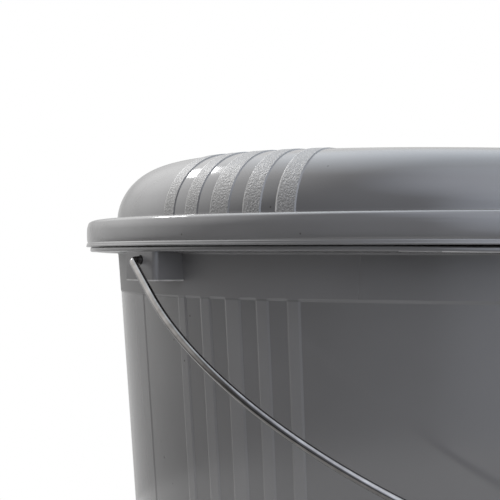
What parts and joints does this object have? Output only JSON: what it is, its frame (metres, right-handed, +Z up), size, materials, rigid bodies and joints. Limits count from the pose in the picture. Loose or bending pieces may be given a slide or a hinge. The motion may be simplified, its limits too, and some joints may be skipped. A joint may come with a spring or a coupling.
{
  "type": "plastic bucket",
  "caption": "Round plastic pail with a domed lid, a swinging wire bail and a turning hand grip, for carrying water, nappies or loose material.",
  "frame": {"origin": "centre of the foot ring's underside, on the plane the bucket stands on", "axes": "+Z up along the bucket's axis, X through the two bail lugs, the bail hangs in front towards -Y"},
  "size_m": [0.3242, 0.3116, 0.2803],
  "materials": {
    "pail_plastic": "smooth glossy moulding, solid grey",
    "bail_steel": "bright drawn wire, zinc plated",
    "grip_plastic": "satin moulding, solid grey"
  },
  "bodies": {
    "bucket": {"bucket_body": "pail_plastic"},
    "lid": {"lid": "pail_plastic"},
    "bail": {"bail_wire": "bail_steel"},
    "grip": {"bail_grip": "grip_plastic"}
  },
  "joints": [
    {"name": "lid_lift", "type": "slide", "parent": "bucket", "child": "lid", "axis": [0, 0, 1], "range_m": [0, 0.1]},
    {"name": "bail_swing", "type": "hinge", "parent": "bucket", "child": "bail", "pos_m": [0, 0, 0.244], "axis": [-1, 0, 0], "range_deg": [0, 239.8]},
    {"name": "grip_turn", "type": "hinge", "parent": "bail", "child": "grip", "pos_m": [0, -0.1464, 0.1595], "axis": [1, 0, 0], "continuous": true}
  ]
}
